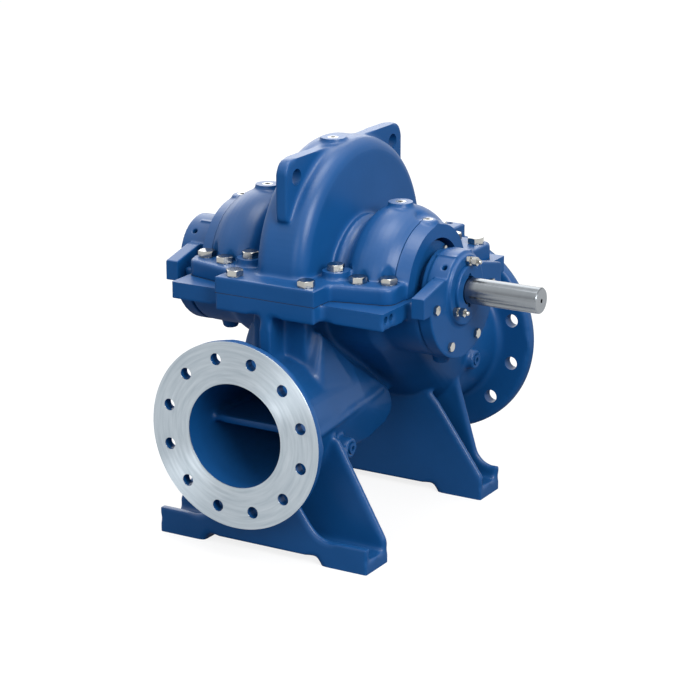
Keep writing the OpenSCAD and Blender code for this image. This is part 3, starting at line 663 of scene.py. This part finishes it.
def add_hex_bolt(bm, seat, along, across_flats, head_h, turn):
    """Hexagon head on a washer face, its top corners turned off at 30 degrees, standing on seat."""
    washer_r, washer_h, crown_r = 0.47 * across_flats, 0.05 * across_flats, 0.485 * across_flats
    half_side = math.pi / 6
    chamfer = math.tan(math.radians(30))
    bolt = bmesh.new()
    add_rod(bolt, washer_r, (0, 0, washer_h), (0, 0, head_h), segments=36)
    top = max(bolt.faces, key=lambda face: face.calc_center_median().z)
    bmesh.ops.inset_region(bolt, faces=[top], thickness=0.1 * washer_r, use_even_offset=True)
    crown = set(top.verts)
    for v in bolt.verts:
        from_flat = (math.atan2(v.co.y, v.co.x) + half_side) % (2 * half_side) - half_side
        corner_r = across_flats / 2 / math.cos(from_flat)
        v.co.xy *= (crown_r if v in crown else corner_r) / v.co.xy.length
        if v.co.z > washer_h + MM and v not in crown:
            v.co.z -= (corner_r - crown_r) * chamfer
    add_rod(bolt, washer_r, (0, 0, 0), (0, 0, 2 * washer_h), segments=36)
    place = Vector(along).to_track_quat("Z", "Y").to_matrix().to_4x4() @ Matrix.Rotation(turn, 4, "Z")
    bolt.transform(Matrix.Translation(seat) @ place)
    pour_into(bm, bolt)


def build_split_bolts():
    bm = bmesh.new()
    across_flats, head_h = 30 * MM, 12.5 * MM
    seats = ([(x, y, upper_flange_top) for x, y in flange_bolts + spot_bolts]
             + [(x, y, split_boss_top) for x, y in boss_bolts])
    for side in both_ends:
        for i, (x, y, z) in enumerate(seats):
            turn = 0.7 * i + 0.3 * side
            add_hex_bolt(bm, (side * x, y, z), (0, 0, 1), across_flats, head_h, turn)
    finish_piece(loose_object("split_bolts", bm), zinc_steel, bolt_crease)


def build_bolt_circles(name, face_x, circle_r, angles, across_flats, head_h):
    """Bolts on a circle round the shaft, at both ends of the pump, each head at a turn of its own."""
    bm = bmesh.new()
    for side in both_ends:
        for angle in angles:
            y, z = circle_r * math.cos(math.radians(angle)), circle_r * math.sin(math.radians(angle))
            add_hex_bolt(bm, (side * face_x, y, shaft_h + z), (side, 0, 0), across_flats, head_h, turn=angle)
    finish_piece(loose_object(name, bm), zinc_steel, bolt_crease)


def build_nipples():
    """Grease nipples on the bearing housings: two hexagons with a neck between them and a ball end."""
    bm = bmesh.new()
    across_flats, base_h, gap, nut_h = 16 * MM, 8.5 * MM, 3 * MM, 10.5 * MM
    stem_r, neck_r, ball_r = 5 * MM, 3.2 * MM, 4.4 * MM
    tip = [(0, 0), (neck_r, 0), (neck_r, 2 * MM), (ball_r, 4 * MM), (ball_r, 5.5 * MM),
           (0.7 * ball_r, 7.5 * MM), (0, 7.8 * MM)]
    names = [name for name in nodes if name.endswith("_nipple")]
    for name in names:
        low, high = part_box(name)
        out = 1 if name.startswith("de_") else -1
        along = Vector((out, 0, 0))
        root = Vector((low.x if out > 0 else high.x, (low.y + high.y) / 2, (low.z + high.z) / 2))
        nut = root + along * (base_h + gap)
        add_hex_bolt(bm, root, along, across_flats, base_h, turn=0.4)
        add_rod(bm, stem_r, root + along * (base_h - MM), nut + along * MM, segments=32)
        add_hex_bolt(bm, nut, along, 0.95 * across_flats, nut_h, turn=0.9)
        add_turned(bm, tip, nut + along * nut_h, along, steps=32)
    piece = loose_object("grease_nipples", bm)
    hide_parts(*names)
    finish_piece(piece, zinc_steel, bolt_crease)


build_lower_casing()
build_upper_casing()
for end in ("de", "nde"):
    build_bracket(end + "_bearing_bracket")
build_nozzle_face("discharge_face", mounts["discharge_bolts"], discharge_bore_r, discharge_flange_r)
build_nozzle_face("suction_face", mounts["suction_bolts"], suction_bore_r, suction_flange_r)
build_split_bolts()
build_bolt_circles("bracket_bolts", bracket_front_x, circle_r=112 * MM, angles=(-173, -118, -62, -7),
                   across_flats=17 * MM, head_h=6.5 * MM)
build_bolt_circles("seal_bolts", seal_floor_x + seal_cover_t, circle_r=77 * MM, angles=(53, 233),
                   across_flats=10 * MM, head_h=5 * MM)
build_nipples()

# CAD nodes that stay, with their finishes.
finish_of = {"blue_paint": cover_paint, "polished_steel": polished_steel, "zinc_steel": zinc_steel,
             "gasket": gasket_sheet}
for subpart in frame["record"]["subparts"]:
    kept = nodes[subpart["node"]]
    kept.data.materials.clear()
    kept.data.materials.append(finish_of[subpart["material_slot"]])


# Floor, light and camera.

floor_r, wall_low, wall_top = 12, -0.01, 4
floor_glow = 0.82
floor_seen = (0.20, 0.20, 0.20, 1)
floor_shade = (0.18, 0.20, 0.23, 1)
overhead = Vector((-0.08, 0.05, 0.99)).normalized()
dark_from, white_from = -0.10, 0.80
room_dark, room_white = (0.05, 0.06, 0.08, 1), (1, 1, 1, 1)
room_strength = 1.15


def background_ray(tree):
    """1 for rays from the camera and for mirror and glass rays, 0 for light that falls on things."""
    path = tree.nodes.new("ShaderNodeLightPath")
    total = path.outputs["Is Camera Ray"]
    for name in ("Is Glossy Ray", "Is Transmission Ray"):
        add = add_node(tree, "ShaderNodeMath", operation="ADD", use_clamp=True)
        tree.links.new(total, add.inputs[0])
        tree.links.new(path.outputs[name], add.inputs[1])
        total = add.outputs[0]
    return total


def stage_piece(name, bm, material_name):
    """A piece of the studio, with an empty material whose tree mixes two shaders by background_ray."""
    piece = loose_object(name, bm)
    material = bpy.data.materials.new(material_name)
    material.use_nodes = True
    tree = material.node_tree
    tree.nodes.clear()
    output = tree.nodes.new("ShaderNodeOutputMaterial")
    pick = tree.nodes.new("ShaderNodeMixShader")
    tree.links.new(background_ray(tree), pick.inputs["Fac"])
    tree.links.new(pick.outputs[0], output.inputs["Surface"])
    piece.data.materials.append(material)
    return tree, pick


def build_floor():
    """Pale floor that looks white but throws little light back, and keeps the pump's shadow."""
    bm = bmesh.new()
    bmesh.ops.create_circle(bm, cap_ends=True, segments=96, radius=floor_r)
    tree, pick = stage_piece("floor", bm, "pale_floor")
    seen = tree.nodes.new("ShaderNodeAddShader")
    glow = tree.nodes.new("ShaderNodeEmission")
    white = tree.nodes.new("ShaderNodeBsdfDiffuse")
    shade = tree.nodes.new("ShaderNodeBsdfDiffuse")
    glow.inputs["Strength"].default_value = floor_glow
    white.inputs["Color"].default_value = floor_seen
    shade.inputs["Color"].default_value = floor_shade
    tree.links.new(glow.outputs[0], seen.inputs[0])
    tree.links.new(white.outputs[0], seen.inputs[1])
    tree.links.new(shade.outputs[0], pick.inputs[1])
    tree.links.new(seen.outputs[0], pick.inputs[2])


def build_backdrop():
    """White wall round the floor's edge, which lets the room's light through."""
    bm = bmesh.new()
    add_turned(bm, [(floor_r, wall_low), (floor_r, wall_top)], (0, 0, 0), (0, 0, 1))
    tree, pick = stage_piece("backdrop", bm, "white_backdrop")
    through = tree.nodes.new("ShaderNodeBsdfTransparent")
    glow = tree.nodes.new("ShaderNodeEmission")
    tree.links.new(through.outputs[0], pick.inputs[1])
    tree.links.new(glow.outputs[0], pick.inputs[2])


def build_world():
    """A studio with soft white light overhead, which fades to a dark room at the horizon."""
    world = bpy.data.worlds.new("studio")
    scene.world = world
    world.use_nodes = True
    tree = world.node_tree
    tree.nodes.clear()
    output = tree.nodes.new("ShaderNodeOutputWorld")
    room = tree.nodes.new("ShaderNodeBackground")
    coords = tree.nodes.new("ShaderNodeTexCoord")
    facing = add_node(tree, "ShaderNodeVectorMath", operation="DOT_PRODUCT")
    facing.inputs[1].default_value = overhead
    spread = add_node(tree, "ShaderNodeMapRange", interpolation_type="SMOOTHSTEP")
    spread.inputs["From Min"].default_value = dark_from
    spread.inputs["From Max"].default_value = white_from
    tone = tree.nodes.new("ShaderNodeValToRGB")
    tone.color_ramp.elements[0].color = room_dark
    tone.color_ramp.elements[1].color = room_white
    tree.links.new(coords.outputs["Generated"], facing.inputs[0])
    tree.links.new(facing.outputs["Value"], spread.inputs["Value"])
    tree.links.new(spread.outputs["Result"], tone.inputs["Fac"])
    tree.links.new(tone.outputs["Color"], room.inputs["Color"])
    room.inputs["Strength"].default_value = room_strength
    tree.links.new(room.outputs[0], output.inputs["Surface"])


def add_softbox(name, place, width, height, power):
    """A panel of light aimed at the middle of the pump."""
    pump_middle = Vector((0, 0, 0.4))
    data = bpy.data.lights.new(name, "AREA")
    data.shape = "RECTANGLE"
    data.size, data.size_y, data.energy = width, height, power
    lamp = bpy.data.objects.new(name, data)
    lamp.location = place
    lamp.rotation_euler = (pump_middle - Vector(place)).to_track_quat("-Z", "Y").to_euler()
    scene.collection.objects.link(lamp)


def build_camera():
    data = bpy.data.cameras.new("camera")
    data.lens, data.sensor_width = 124.81, 36
    data.clip_end = 100
    camera = bpy.data.objects.new("camera", data)
    right = Vector((0.86467, 0.50233, 0))
    up = Vector((-0.14630, 0.25183, 0.95665))
    back = Vector((0.48056, -0.82719, 0.29124))
    turn = Matrix((right, up, back)).transposed().to_4x4()
    place = Vector((2.3051, -3.9036, 1.7114))
    camera.matrix_world = Matrix.Translation(place) @ turn
    scene.collection.objects.link(camera)
    scene.camera = camera


build_floor()
build_backdrop()
build_world()
add_softbox("right_fill", (3.0, -1.6, 2.4), width=1.8, height=1.8, power=124)
add_softbox("left_panel", (-3.0, -1.6, 2.0), width=2.0, height=2.4, power=5)
add_softbox("top_panel", (0.2, -0.1, 3.2), width=1.5, height=1.5, power=28)
add_softbox("front_panel", (0.5, -4.1, 1.8), width=1.8, height=1.4, power=28)
add_softbox("back_panel", (-2.3, 2.5, 2.4), width=3.2, height=3.0, power=56)
build_camera()
scene.view_settings.view_transform = "Standard"
